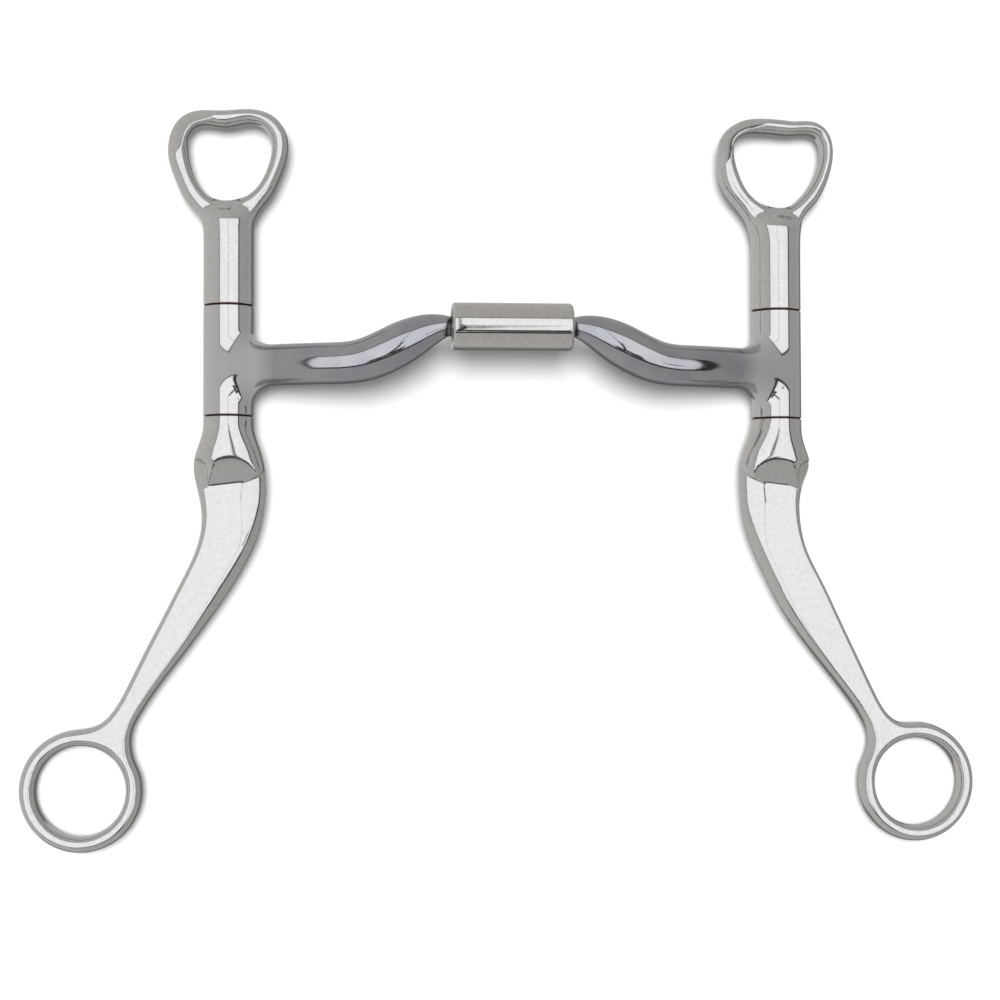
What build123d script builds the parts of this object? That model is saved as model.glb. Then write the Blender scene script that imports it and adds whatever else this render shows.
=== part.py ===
from build123d import *

import os
from math import asin, atan2, cos, hypot, pi, radians, sin, sqrt

# Curb bit with swivelling cheeks and a barrel-jointed mouthpiece, lying flat on a table.
# The origin is the middle of the bottom of the bit's bounding box. +X runs along the
# mouthpiece towards the right cheek, +Y up the cheeks towards the headstall loops, and +Z
# away from the table, which is also the way the mouthpiece arches. Sizes are in millimetres.

# Driving dimensions of the whole bit
MOUTH_WIDTH = 127.0         # between the butts, the size a bit is sold by (5 inches)
STOCK_RADIUS = 6.25         # round stock of the butts and of the cheeks beside them
CHEEK_HEIGHT = 185.8        # top of a headstall loop to the bottom of a rein ring
ARCH_RISE = 16.25           # barrel axis above the spindle axes

# Barrel in the middle of the mouthpiece
BARREL_RADIUS = 5.85
BARREL_LENGTH = 29.8
BARREL_Y = 36.7             # height of the barrel axis up the cheeks
BARREL_EDGE = 0.9           # rounding of the sleeve's outer rims
BARREL_BORE_RADIUS = 4.45
END_BUSH_LENGTH = 3.8
END_BUSH_RECESS = 0.4       # how far the bush sits inside the sleeve's mouth
COLLAR_RADIUS = 4.1
COLLAR_LENGTH = 2.5
COLLAR_SEAT_RADIUS = 1.9
THRUST_GAP = 0.2            # end float of the collar against its bush
SPACER_GAP = 0.3            # end float of the collar against the centre spacer

# Mouth arms
ARM_RADIUS = 5.15
NECK_RADIUS = 2.4
NECK_X = 15.3               # where the neck starts to swell into the arm
TAPER_LENGTH = 13.0
ARM_BUTT_Y = 27.8           # height of the arm where it meets its butt
BEND_X = 37.5               # the sideways bend of the arm runs from here to the neck
ROOT_DEPTH = 1.75           # how far the arm's bar runs into the butt, short of its axis
BUTT_FILLET = 3.0
ARM_STATIONS = 15           # round sections that the arm's bar is drawn through

# Swivel joint between a butt and its cheek
BUTT_LOWER_Y = 15.7
BUTT_UPPER_Y = 42.9
SPINDLE_RADIUS = 3.5
RUNNING_CLEARANCE = 0.05
SHANK_SOCKET_DEPTH = 8.0
PURCHASE_SOCKET_DEPTH = 11.0
SOCKET_END_GAP = 0.5
BUSH_RADIUS = 4.6
BUSH_LENGTH = 8.0
FLANGE_RADIUS = 6.0
FLANGE_THICKNESS = 0.3
FLANGE_GAP = 0.15           # between the flange and the cheek that turns on it
BUTT_RELIEF_RADIUS = 3.9    # bore of the butt between its two bushes

# Purchase and headstall loop, in the plane of the cheek
LOOP_DEPTH = 6.0
LOOP_ROUND = 1.8
LOOP_HALF_OUTLINE = [(5.2, 61.0), (8.3, 67.1), (11.9, 71.9), (14.7, 78.6), (15.0, 85.0), (12.0, 90.6),
                     (6.5, 92.85)]
LOOP_FOOT_Y = 57.0          # the loop's outline closes here, inside the round stock
LOOP_TOP_DIP = 0.3          # the top bar sinks this much in its middle
LOOP_HOLE_HALF = [(4.2, 70.4), (8.2, 74.8), (10.6, 81.0), (10.3, 86.0), (6.6, 88.8)]
LOOP_HOLE_FOOT_Y = 69.4
LOOP_HOLE_TOP_Y = 88.2
SHOULDER_Y = 68.2           # end of the purchase's round stock
SHOULDER_ROUND = 3.2

# Shank and rein ring, in the plane of the cheek
SHANK_DEPTH = 5.6
SHANK_ROUND = 1.2
RING_RADIUS = 15.2
RING_BORE_RADIUS = 11.5
RING_ROUND = 1.5
RING_REACH = 36.4           # ring centre outward of the spindle axis
CORNER_LAND = 0.01          # flat left on each side of the section that meets the round stock
MOUTH_SIDE = [(-6.25, 13.5), (-8.7, 5.0), (-9.5, -1.5), (-7.3, -15.0), (-0.1, -29.5), (10.8, -45.0),
              (21.8, -60.5), (23.9, -66.5)]
OUTER_SIDE = [(6.25, 12.5), (8.6, 3.8), (6.2, -9.0), (9.6, -21.7), (18.7, -40.3), (26.6, -56.2),
              (30.3, -61.0)]
BULGE_Y = 5.0               # where the round stock has widened to the shank
BULGE_HALF_WIDTH = 8.7
BULGE_HALF_DEPTH = 5.8
BULGE_ROUND = 4.0
BLADE_Y = -2.0              # foot of the facet that drops to the flat blade
BLADE_MIDDLE_X = -1.25      # the blade starts a little towards the mouth
BLADE_HALF_WIDTH = 8.25

spindle_x = MOUTH_WIDTH / 2 + STOCK_RADIUS
spindle_z = STOCK_RADIUS
barrel_z = spindle_z + ARCH_RISE
ring_y = RING_RADIUS - CHEEK_HEIGHT / 2
flange_stack = FLANGE_THICKNESS + FLANGE_GAP
shank_top_y = BUTT_LOWER_Y - flange_stack
purchase_foot_y = BUTT_UPPER_Y + flange_stack
loop_foot = (0, LOOP_FOOT_Y)
loop_top = (0, CHEEK_HEIGHT / 2 - LOOP_TOP_DIP)
hole_foot = (0, LOOP_HOLE_FOOT_Y)
hole_top = (0, LOOP_HOLE_TOP_Y)
shoulder_start_y = SHOULDER_Y - SHOULDER_ROUND
shoulder_end_x = STOCK_RADIUS - SHOULDER_ROUND
shoulder_middle = (shoulder_end_x + SHOULDER_ROUND * sqrt(0.5), shoulder_start_y + SHOULDER_ROUND * sqrt(0.5))

# Sections of the shank between its round stock and its blade:
# height, middle, half width, half depth and corner radius
shank_top = (shank_top_y, 0, STOCK_RADIUS, STOCK_RADIUS, STOCK_RADIUS - CORNER_LAND)
bulge = (BULGE_Y, 0, BULGE_HALF_WIDTH, BULGE_HALF_DEPTH, BULGE_ROUND)
blade_foot = (BLADE_Y, BLADE_MIDDLE_X, BLADE_HALF_WIDTH, SHANK_DEPTH / 2, SHANK_ROUND)

# The cheek leans about its spindle until the rounded rim of the rein ring meets the table.
rim_reach = RING_REACH + RING_RADIUS - RING_ROUND
rim_depth = SHANK_DEPTH / 2 - RING_ROUND
cheek_lean = asin((spindle_z - RING_ROUND) / hypot(rim_reach, rim_depth)) - atan2(rim_depth, rim_reach)

# The arm's arch is an arc that leaves the barrel along its axis and ends at the spindle axis.
arch_run = spindle_x - NECK_X
arch_radius = (arch_run**2 + ARCH_RISE**2) / (2 * ARCH_RISE)
root_x = spindle_x - ROOT_DEPTH
butt_side_x = spindle_x - STOCK_RADIUS - BUTT_FILLET


def cheek_plane(side):
    """Middle plane of a cheek: local x is +X leaned about the spindle axis, local y is +Y."""
    return Plane(
        origin=(side * spindle_x, 0, spindle_z),
        x_dir=(cos(cheek_lean), 0, -side * sin(cheek_lean)),
        z_dir=(side * sin(cheek_lean), 0, cos(cheek_lean)),
    )


def spindle_plane(side, y):
    """Plane square to the spindle axis at height y, facing +Y."""
    return Plane(origin=(side * spindle_x, y, spindle_z), x_dir=(1, 0, 0), z_dir=(0, 1, 0))


def barrel_plane(side, reach):
    """Plane square to the barrel axis, reach away from the middle and facing that side."""
    return Plane(origin=(side * reach, BARREL_Y, barrel_z), x_dir=(0, 1, 0), z_dir=(side, 0, 0))


def write(part, name):
    """Label a finished piece and write its STEP file."""
    part.label = name
    export_step(part, f"parts/{name}.step")


def arm_section(side, reach):
    """Plane square to the arm's centre line at a distance reach from the middle."""
    bend = max((BEND_X - reach) / (BEND_X - NECK_X), 0.0)
    y = ARM_BUTT_Y + (BARREL_Y - ARM_BUTT_Y) * (3 * bend**2 - 2 * bend**3)
    dy = -(BARREL_Y - ARM_BUTT_Y) * 6 * bend * (1 - bend) / (BEND_X - NECK_X)
    run = reach - NECK_X
    fall = sqrt(arch_radius**2 - run**2)
    z = barrel_z - arch_radius + fall
    return Plane(origin=(side * reach, y, z), x_dir=(-side * dy, 1, 0), z_dir=(side, dy, -run / fall))


def arm_radius(reach):
    """Radius of the arm: the neck swells by a quarter sine wave to the full arm."""
    swell = min((reach - NECK_X) / TAPER_LENGTH, 1.0)
    return NECK_RADIUS + (ARM_RADIUS - NECK_RADIUS) * sin(swell * pi / 2)


def to_side(side, points):
    """Turn outline points given outward of the spindle into the local x of a cheek plane."""
    return [(side * x, y) for x, y in points]


def closed_outline(foot, half, top):
    """Points of a closed outline from its foot up one half, over its top and down the other."""
    return [foot, *half, top, *[(-x, y) for x, y in reversed(half)]]


def ring_point(side, angle):
    """Point on the middle of the rein ring's band; 0 degrees is outward and 90 is up the cheek."""
    band_radius = (RING_RADIUS + RING_BORE_RADIUS) / 2
    around = radians(angle)
    return (side * (RING_REACH + band_radius * cos(around)), ring_y + band_radius * sin(around))


def cheek_section(side, y):
    """Plane square to the spindle axis at height y, leaned with the cheek."""
    return Plane(origin=(side * spindle_x, y, spindle_z), x_dir=cheek_plane(side).x_dir, z_dir=(0, 1, 0))


# Barrel: a sleeve over a pressed centre spacer, with a pressed bush in each mouth
bush_outer = BARREL_LENGTH / 2 - END_BUSH_RECESS
bush_inner = bush_outer - END_BUSH_LENGTH
collar_outer = bush_inner - THRUST_GAP
collar_inner = collar_outer - COLLAR_LENGTH
spacer_half = collar_inner - SPACER_GAP

with BuildPart() as barrel_sleeve:
    with BuildSketch(barrel_plane(1, -BARREL_LENGTH / 2)):
        Circle(BARREL_RADIUS)
    extrude(amount=BARREL_LENGTH)
    fillet(barrel_sleeve.edges().filter_by(GeomType.CIRCLE), BARREL_EDGE)
    with BuildSketch(barrel_plane(1, -BARREL_LENGTH / 2)):
        Circle(BARREL_BORE_RADIUS)
    extrude(amount=BARREL_LENGTH, mode=Mode.SUBTRACT)
write(barrel_sleeve.part, "barrel_sleeve")

with BuildPart() as centre_spacer:
    with BuildSketch(barrel_plane(1, -spacer_half)):
        Circle(BARREL_BORE_RADIUS)
    extrude(amount=2 * spacer_half)
write(centre_spacer.part, "centre_spacer")

for side, hand in ((-1, "left"), (1, "right")):
    with BuildPart() as end_bush:
        with BuildSketch(barrel_plane(side, bush_inner)):
            Circle(BARREL_BORE_RADIUS)
            Circle(NECK_RADIUS + RUNNING_CLEARANCE, mode=Mode.SUBTRACT)
        extrude(amount=END_BUSH_LENGTH)
    write(end_bush.part, f"{hand}_end_bush")

    # Collar riveted on the arm's spigot, which holds the arm in the barrel
    with BuildPart() as retaining_collar:
        with BuildSketch(barrel_plane(side, collar_inner)):
            Circle(COLLAR_RADIUS)
            Circle(COLLAR_SEAT_RADIUS, mode=Mode.SUBTRACT)
        extrude(amount=COLLAR_LENGTH)
    write(retaining_collar.part, f"{hand}_retaining_collar")

    # Mouth arm: an arched, tapering bar with its butt tube and its spigot
    with BuildPart() as mouth_arm:
        for station in range(ARM_STATIONS):
            reach = root_x + (NECK_X - root_x) * station / (ARM_STATIONS - 1)
            with BuildSketch(arm_section(side, reach)):
                Circle(arm_radius(reach))
        loft()
        with BuildSketch(spindle_plane(side, BUTT_LOWER_Y)):
            Circle(STOCK_RADIUS)
        extrude(amount=BUTT_UPPER_Y - BUTT_LOWER_Y)
        outward = Axis((0, 0, 0), (side, 0, 0))
        joint_edges = mouth_arm.edges().filter_by(GeomType.BSPLINE)
        fillet(joint_edges.filter_by_position(outward, butt_side_x, spindle_x), BUTT_FILLET)
        with BuildSketch(barrel_plane(side, collar_outer)):
            Circle(NECK_RADIUS)
        extrude(amount=NECK_X - collar_outer)
        with BuildSketch(barrel_plane(side, collar_inner)):
            Circle(COLLAR_SEAT_RADIUS)
        extrude(amount=COLLAR_LENGTH)
        with BuildSketch(spindle_plane(side, BUTT_LOWER_Y)):
            Circle(BUTT_RELIEF_RADIUS)
        extrude(amount=BUTT_UPPER_Y - BUTT_LOWER_Y, mode=Mode.SUBTRACT)
        for y in (BUTT_LOWER_Y, BUTT_UPPER_Y - BUSH_LENGTH):
            with BuildSketch(spindle_plane(side, y)):
                Circle(BUSH_RADIUS)
            extrude(amount=BUSH_LENGTH, mode=Mode.SUBTRACT)
    write(mouth_arm.part, f"{hand}_mouth_arm")

    # Flanged bushes pressed into the ends of the butt; the cheeks turn against the flanges
    for place, face_y, outward in (("lower", BUTT_LOWER_Y, -1), ("upper", BUTT_UPPER_Y, 1)):
        with BuildPart() as butt_bush:
            with BuildSketch(spindle_plane(side, face_y)):
                Circle(BUSH_RADIUS)
            extrude(amount=-outward * BUSH_LENGTH)
            with BuildSketch(spindle_plane(side, face_y)):
                Circle(FLANGE_RADIUS)
            extrude(amount=outward * FLANGE_THICKNESS)
            with BuildSketch(spindle_plane(side, face_y + outward * FLANGE_THICKNESS)):
                Circle(SPINDLE_RADIUS + RUNNING_CLEARANCE)
            extrude(amount=-outward * (BUSH_LENGTH + FLANGE_THICKNESS), mode=Mode.SUBTRACT)
        write(butt_bush.part, f"{hand}_{place}_bush")

    # Spindle through the butt, pressed into the cheek above and below it
    with BuildPart() as spindle:
        with BuildSketch(spindle_plane(side, shank_top_y - SHANK_SOCKET_DEPTH)):
            Circle(SPINDLE_RADIUS)
        extrude(amount=purchase_foot_y + PURCHASE_SOCKET_DEPTH - shank_top_y + SHANK_SOCKET_DEPTH)
    write(spindle.part, f"{hand}_spindle")

    # Purchase: round stock with a rounded shoulder, and the headstall loop above it
    face = cheek_plane(side)
    through = Axis(face.origin, face.z_dir)
    with BuildPart() as purchase:
        with BuildSketch(face.offset(-LOOP_DEPTH / 2)):
            with BuildLine():
                Spline(*closed_outline(loop_foot, LOOP_HALF_OUTLINE, loop_top), periodic=True)
            make_face()
            with BuildLine():
                Spline(*closed_outline(hole_foot, LOOP_HOLE_HALF, hole_top), periodic=True)
            make_face(mode=Mode.SUBTRACT)
        extrude(amount=LOOP_DEPTH)
        fillet(purchase.edges().group_by(through)[0] + purchase.edges().group_by(through)[-1], LOOP_ROUND)
        with BuildSketch(Plane.XY.offset(spindle_z).move(Location((side * spindle_x, 0, 0)))):
            with BuildLine():
                stock_side = Polyline((0, purchase_foot_y), (STOCK_RADIUS, purchase_foot_y),
                                      (STOCK_RADIUS, shoulder_start_y))
                shoulder = ThreePointArc(stock_side @ 1, shoulder_middle, (shoulder_end_x, SHOULDER_Y))
                Polyline(shoulder @ 1, (0, SHOULDER_Y), (0, purchase_foot_y))
            make_face()
        revolve(axis=Axis(face.origin, (0, 1, 0)))
        with BuildSketch(spindle_plane(side, purchase_foot_y)):
            Circle(SPINDLE_RADIUS)
        extrude(amount=PURCHASE_SOCKET_DEPTH + SOCKET_END_GAP, mode=Mode.SUBTRACT)
    write(purchase.part, f"{hand}_purchase")

    # Shank: round stock that widens and steps down by a facet to the flat blade and the rein ring
    with BuildPart() as shank:
        with BuildSketch(face.offset(-SHANK_DEPTH / 2)):
            with BuildLine():
                mouth_edge = Spline(*to_side(side, MOUTH_SIDE), ring_point(side, 180))
                outer_edge = Spline(*to_side(side, OUTER_SIDE), ring_point(side, 90))
                Line(mouth_edge @ 0, outer_edge @ 0)
                Line(mouth_edge @ 1, outer_edge @ 1)
            make_face()
        extrude(amount=SHANK_DEPTH)
        faces = shank.edges().filter_by(GeomType.BSPLINE).group_by(through)
        fillet(faces[0] + faces[-1], SHANK_ROUND)
        for upper, lower in ((shank_top, bulge), (bulge, blade_foot)):
            for y, middle_x, half_width, half_depth, corner in (upper, lower):
                with BuildSketch(cheek_section(side, y)):
                    with Locations((side * middle_x, 0)):
                        RectangleRounded(2 * half_width, 2 * half_depth, corner)
            loft(ruled=True)
        ring_centre = face.from_local_coords((side * RING_REACH, ring_y, 0))
        ring_axis = Axis(ring_centre, face.z_dir)
        with BuildSketch(Plane(origin=ring_centre, x_dir=face.x_dir, z_dir=(0, -1, 0))):
            with Locations(((RING_RADIUS + RING_BORE_RADIUS) / 2, 0)):
                RectangleRounded(RING_RADIUS - RING_BORE_RADIUS, SHANK_DEPTH, RING_ROUND)
        revolve(axis=ring_axis)
        with BuildSketch(Plane(origin=ring_centre, x_dir=face.x_dir, z_dir=face.z_dir)):
            Circle(RING_BORE_RADIUS)
        extrude(amount=SHANK_DEPTH, both=True, mode=Mode.SUBTRACT)
        with BuildSketch(spindle_plane(side, shank_top_y)):
            Circle(SPINDLE_RADIUS)
        extrude(amount=-SHANK_SOCKET_DEPTH - SOCKET_END_GAP, mode=Mode.SUBTRACT)
    write(shank.part, f"{hand}_shank")
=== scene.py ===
import math

import bmesh
import bpy
import numpy as np
from mathutils import Euler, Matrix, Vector


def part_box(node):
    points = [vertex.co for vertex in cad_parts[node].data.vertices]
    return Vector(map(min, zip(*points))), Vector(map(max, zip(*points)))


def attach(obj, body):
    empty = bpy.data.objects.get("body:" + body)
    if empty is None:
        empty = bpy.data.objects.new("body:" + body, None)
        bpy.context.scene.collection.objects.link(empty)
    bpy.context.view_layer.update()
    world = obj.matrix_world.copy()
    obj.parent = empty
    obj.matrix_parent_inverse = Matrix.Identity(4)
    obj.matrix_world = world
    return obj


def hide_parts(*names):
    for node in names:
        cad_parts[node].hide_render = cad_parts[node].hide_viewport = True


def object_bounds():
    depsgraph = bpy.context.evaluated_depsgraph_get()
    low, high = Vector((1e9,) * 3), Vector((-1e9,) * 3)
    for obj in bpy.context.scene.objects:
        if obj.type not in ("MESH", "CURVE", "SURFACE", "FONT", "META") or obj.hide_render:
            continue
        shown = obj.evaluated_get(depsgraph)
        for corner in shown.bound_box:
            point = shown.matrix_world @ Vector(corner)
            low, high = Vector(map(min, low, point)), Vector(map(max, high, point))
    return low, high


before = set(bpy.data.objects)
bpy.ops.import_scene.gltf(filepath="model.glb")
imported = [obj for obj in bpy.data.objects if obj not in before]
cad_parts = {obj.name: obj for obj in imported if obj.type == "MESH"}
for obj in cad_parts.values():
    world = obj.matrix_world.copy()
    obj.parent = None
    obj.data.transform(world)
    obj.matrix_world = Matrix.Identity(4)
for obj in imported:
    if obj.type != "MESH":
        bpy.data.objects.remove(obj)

bl_info = {
    "name": "Curb Bit Bench",
    "version": (1, 0, 0),
    "blender": (4, 5, 0),
    "location": "3D View > Sidebar > Curb Bit",
    "description": "Makes the visible pieces and finishes of a swivel cheek curb bit around its frame",
    "category": "Add Mesh",
}

CAD_BOX = [list(corner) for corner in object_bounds()]
MM = 0.001
HANDS = {"left": -1, "right": 1}

# Places read from the frame, in millimetres
sleeve_low, sleeve_high = (np.array(corner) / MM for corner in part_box("barrel_sleeve"))
arm_low, arm_high = (np.array(corner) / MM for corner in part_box("right_mouth_arm"))
spindle_low, spindle_high = (np.array(corner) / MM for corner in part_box("right_spindle"))
purchase_low, _ = (np.array(corner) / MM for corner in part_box("right_purchase"))
shank_low, shank_high = (np.array(corner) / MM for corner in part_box("right_shank"))
collar_low, collar_high = (np.array(corner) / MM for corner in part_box("right_retaining_collar"))

BARREL_Y, BARREL_Z = (sleeve_low + sleeve_high)[1:] / 2
SPINDLE_X, SPINDLE_Z = (spindle_low + spindle_high)[[0, 2]] / 2
BUTT_LOWER_Y, BUTT_UPPER_Y = arm_low[1], arm_high[1]
PURCHASE_FOOT_Y = purchase_low[1]
SHANK_TOP_Y = shank_high[1]
CHEEK_FOOT_Y = shank_low[1]

# Headstall loops seen square on: outward of the spindle, and up the cheek
LOOP_OUTLINE = {
    "left": [(6.25, 58), (6.3, 61), (6.9, 64.6), (8.6, 67.0), (11.4, 70.7), (13.4, 75.2), (15.0, 80.0),
        (15.2, 83.5), (14.2, 87.7), (11.8, 90.9), (8.2, 92.4), (3.5, 92.5), (0.5, 92.5), (-3.5, 92.8),
        (-7.2, 92.6), (-10.6, 91.4), (-13.4, 88.7), (-14.8, 85.2), (-14.6, 80.6), (-12.9, 75.6),
        (-10.6, 70.9), (-8.0, 67.5), (-6.5, 64.5), (-6.25, 61), (-6.25, 58)],
    "right": [(6.25, 58), (6.3, 61), (6.6, 64.5), (7.6, 67.8), (10.3, 70.9), (12.6, 74.5), (14.6, 79.8),
        (15.3, 84.2), (14.6, 88.4), (12.3, 91.4), (9.4, 92.5), (5.5, 92.4), (1.5, 92.6), (-3, 92.8),
        (-7.5, 92.4), (-11.3, 90.7), (-14, 88), (-15.2, 84.4), (-15.3, 80), (-14.4, 75.4),
        (-11.8, 71.1), (-8.6, 67.2), (-7.0, 64.0), (-6.35, 61), (-6.25, 58)],
}
LOOP_HOLE = {
    "left": [(0.2, 69.4), (-4.2, 70.7), (-7.6, 73.8), (-9.7, 78), (-10.7, 82.2), (-10.2, 86.0),
        (-8.2, 88.3), (-5.2, 89.1), (-2, 88.6), (1.2, 88.15), (4.5, 88.55), (8, 88.3), (9.9, 86.4),
        (10.2, 82.8), (9.4, 78.3), (7.4, 73.8), (3.9, 70.2)],
    "right": [(0.5, 69.5), (-3.9, 70.7), (-7.6, 73.8), (-10, 78.6), (-11, 82.4), (-10.8, 86.2),
        (-8.8, 88.2), (-5.4, 88.9), (-1, 88.85), (3.5, 88.6), (7.5, 88.9), (10.6, 88.2),
        (11.8, 85.6), (11.4, 80.9), (9.2, 76), (6.1, 72.2), (3.0, 70.0)],
}
LOOP_CENTRE = (0.0, 79.5)
LOOP_PORT_Y = 58.0          # the loop's grid hands over to the round stock here
SHOULDER_START_Y = 63.9
SHOULDER_END_Y = 69.8
SHOULDER_END_HEIGHT = 2.4

# Sides of the shanks, from the round stock down to the rein ring
MOUTH_SIDE = {
    "left": [(-6.25, 15.3), (-6.3, 12.6), (-7.7, 7.8), (-8.9, 3.3), (-9.3, -1.7), (-8.8, -7.9),
        (-7.4, -14.2), (-4.0, -21.7), (0.5, -29.2), (5.7, -36.6), (11.2, -44.1), (16.9, -51.5),
        (21.1, -57.7), (23.8, -63.4), (24.0, -66.4)],
    "right": [(-6.25, 15.3), (-6.8, 12.6), (-8.7, 7.4), (-9.6, 3.6), (-9.7, -1.6), (-9.2, -8.0),
        (-7.3, -15.6), (-4.0, -23.2), (-0.2, -30.9), (4.7, -38.6), (10.6, -46.3), (16.9, -54.1),
        (22.0, -61.4), (23.8, -66.0)],
}
OUTER_SIDE = {
    "left": [(6.25, 15.3), (6.35, 12.1), (7.8, 7.1), (8.6, 3.4), (8.0, -1.4), (6.9, -6.4), (6.7, -12.4),
        (8.5, -19.2), (12.1, -26.7), (16.5, -35.3), (21.3, -44.6), (25.3, -52.7), (28.6, -58.2),
        (31.7, -61.1)],
    "right": [(6.25, 15.3), (6.5, 10.6), (7.9, 6.2), (8.4, 3.9), (7.4, 0.5), (6.0, -3.8), (5.8, -10.0),
        (7.2, -17.2), (11.3, -25.8), (16.3, -36.1), (21.3, -46.4), (26.0, -56.0), (28.4, -59.8),
        (31.6, -62.2)],
}
RING_JOIN_MOUTH = (150, 165, 180)       # degrees round the ring, where the mouth side runs into it
RING_JOIN_OUTER = (86, 72, 58)
NECK_MOUTH_Y = -61.0                    # the blade's grid hands over to the ring's here
CROSS_SLANT = ((-8, 0.0), (-28, 5.0), (-42, 5.0), (-61, 3.0))

# Width in from each side over which the blade's face rolls over, down the shank
MOUTH_ROLL = ((16, 5.4), (2, 5.6), (-6, 5.9), (-13, 3.9), (-17, 3.0), (-28, 2.9), (-40, 1.9), (-50, 1.5))
OUTER_ROLL = ((16, 2.6), (7, 4.4), (-1.6, 4.4), (-2.8, 2.2), (-8, 1.9), (-16, 1.5), (-25, 1.35),
        (-50, 1.5))
# How much each of those rolls is lowered at its edge
MOUTH_BEVEL = ((16, 0.3), (-30, 0.3), (-50, 0.0))
OUTER_BEVEL = ((16, 0.0), (7, 0.45), (-1.6, 0.45), (-2.8, 0.0))
# How far the facet's mound reaches outward and towards the mouth, down the shank
MOUND_OUTER = ((16, 20), (5.4, 12), (4.6, 8.0), (3.4, 6.0), (1.4, 5.4), (-4, 5.4))
MOUND_MOUTH = ((16, 20), (3.4, 9.6), (1.4, 8.8), (0.4, 8.0), (-0.1, 7.2), (-1.15, 5.0), (-2, 1.8),
               (-2.3, 1.0))
FACET_TOP_Y = 5.4
FACET_SLOPE = 0.42
FACET_TILT = 0.05           # how much the facet rises outward

# Reaches along a mouth arm from the middle, and the height up the cheek where it ends
NECK_REACH = 15.3
BEND_END_REACH = 40.0
ROOT_REACH = 58.2
ROOT_Y = 27.8
BELL_REACH, BELL_WIDTH, BELL_SWELL = 31, 7, 0.3         # extra swelling at the bend
SPIGOT_RADIUS = 1.9

# Bores of the butts for their bushes, and blind sockets of the cheeks for their spindles
POCKET_RADIUS, POCKET_DEPTH, RELIEF_RADIUS = 4.6, 8.0, 3.9
SOCKET_RADIUS, PURCHASE_SOCKET_DEPTH, SHANK_SOCKET_DEPTH = 3.5, 11.5, 8.5

# What the metal mirrors, in degrees from straight up: (left, right), (low, high)
SOFTBOX = ((-38.5, 46.5), (-31, 35))
SOFTBOX_FRAME = ((-40.5, 52), (-38.5, 38))
SOFTBOX_SEAM = (-0.3, 1.2)
FRAME_TONE, SEAM_TONE, UNDER_TONE = 0.035, 0.4, 0.05
# Dark things in front of the softbox, and the brightness of each
FIGURES = (((0.5, 5.0), (-28, 4), 0.05), ((6.2, 7.0), (-4, 1), 0.1), ((-14, 16), (-31, -22), 0.06),
           ((34, 41), (-14, -9), 0.2))
FIGURE_RAGGEDNESS = 3

CAMERA_PLACE = (-0.051785, -0.023053, 0.53584)
CAMERA_TURN = (0.033417, -0.0945, -0.002285)
KEY_DIRECTION = (0.11, -0.10, -1.0)


def length(name, description, default):
    """Setting for a length."""
    return bpy.props.FloatProperty(
        name=name, description=description, default=default, precision=5, unit="LENGTH")


def metal_colour(name, description, default):
    """Setting for a metal's colour."""
    return bpy.props.FloatVectorProperty(
        name=name, description=description, default=default, subtype="COLOR", size=3, min=0, max=1)


class CurbBitSizes(bpy.types.PropertyGroup):
    """Sizes of the visible pieces."""

    stock_radius: length("Stock radius", "Round stock of the butts and cheeks", 0.00625)
    barrel_rim: length("Barrel rim", "Rounding of the barrel's outer rims", 0.0009)
    barrel_bore: length("Barrel bore radius", "Inside radius of the barrel's sleeve", 0.00445)
    arm_radius: length("Arm radius", "Radius of a mouth arm where it is thickest", 0.00515)
    neck_radius: length("Neck radius", "Radius of an arm's neck at the barrel", 0.0024)
    root_fillet: length("Root fillet", "How far an arm flares out where it meets its butt", 0.00475)
    edge_break: length("Edge break", "Small chamfer on the faces that turn against each other", 0.00014)
    loop_depth: length("Loop depth", "Depth of the headstall loop's band, front to back", 0.006)
    blade_depth: length("Blade depth", "Depth of the shank's blade and rein ring, front to back", 0.0056)
    ring_radius: length("Ring radius", "Outer radius of a rein ring", 0.0152)
    ring_bore: length("Ring bore radius", "Radius of the hole that the rein passes through", 0.0112)
    cheek_lean: bpy.props.FloatProperty(
        name="Cheek lean", description="How far each cheek is turned on its spindle at rest",
        default=math.radians(3.952), precision=4, subtype="ANGLE")


class CurbBitFinish(bpy.types.PropertyGroup):
    """Colours and polish of the metals."""

    cheek_steel: metal_colour(
        "Cheek steel", "Polished steel of the purchases and shanks", (0.60, 0.596, 0.594))
    barrel_steel: metal_colour("Barrel steel", "Polished steel of the barrel's sleeve", (0.60, 0.59, 0.58))
    mouth_steel: metal_colour("Mouth steel", "Darker satin steel of the mouth arms", (0.43, 0.435, 0.45))
    spindle_steel: metal_colour(
        "Spindle steel", "Ground steel of the spindles and collars", (0.5, 0.49, 0.48))
    # Painted shade in part: the bushes' bronze is set near black, darker than its tarnish, to stand for the
    # shade in the seams where the bushes show.
    bush_bronze: metal_colour("Bush bronze", "Tarnished bronze of the bushes", (0.075, 0.034, 0.024))
    polish: bpy.props.FloatProperty(
        name="Polish roughness", description="Roughness of the best polished steel",
        default=0.07, min=0.02, max=0.6, subtype="FACTOR")
    satin: bpy.props.FloatProperty(
        name="Satin roughness", description="Roughness of the mouth arms",
        default=0.065, min=0.05, max=0.8, subtype="FACTOR")


class CurbBitStudio(bpy.types.PropertyGroup):
    """Light and camera of the studio."""

    softbox: bpy.props.FloatProperty(
        name="Softbox", description="Brightness of the overhead softbox in the metal",
        default=1.4, min=0, max=10)
    surround: bpy.props.FloatProperty(
        name="Surround", description="Brightness of the room around the softbox",
        default=0.58, min=0, max=10)
    fill: bpy.props.FloatProperty(
        name="Fill", description="Brightness of the sky light on the floor",
        default=0.30, min=0, max=10)
    key: bpy.props.FloatProperty(
        name="Key", description="Strength of the key light that casts the shadow",
        default=2.95, min=0, max=50)
    lens: bpy.props.FloatProperty(
        name="Lens", description="Focal length of the camera",
        default=75.77, min=10, max=300, subtype="DISTANCE_CAMERA")


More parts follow.
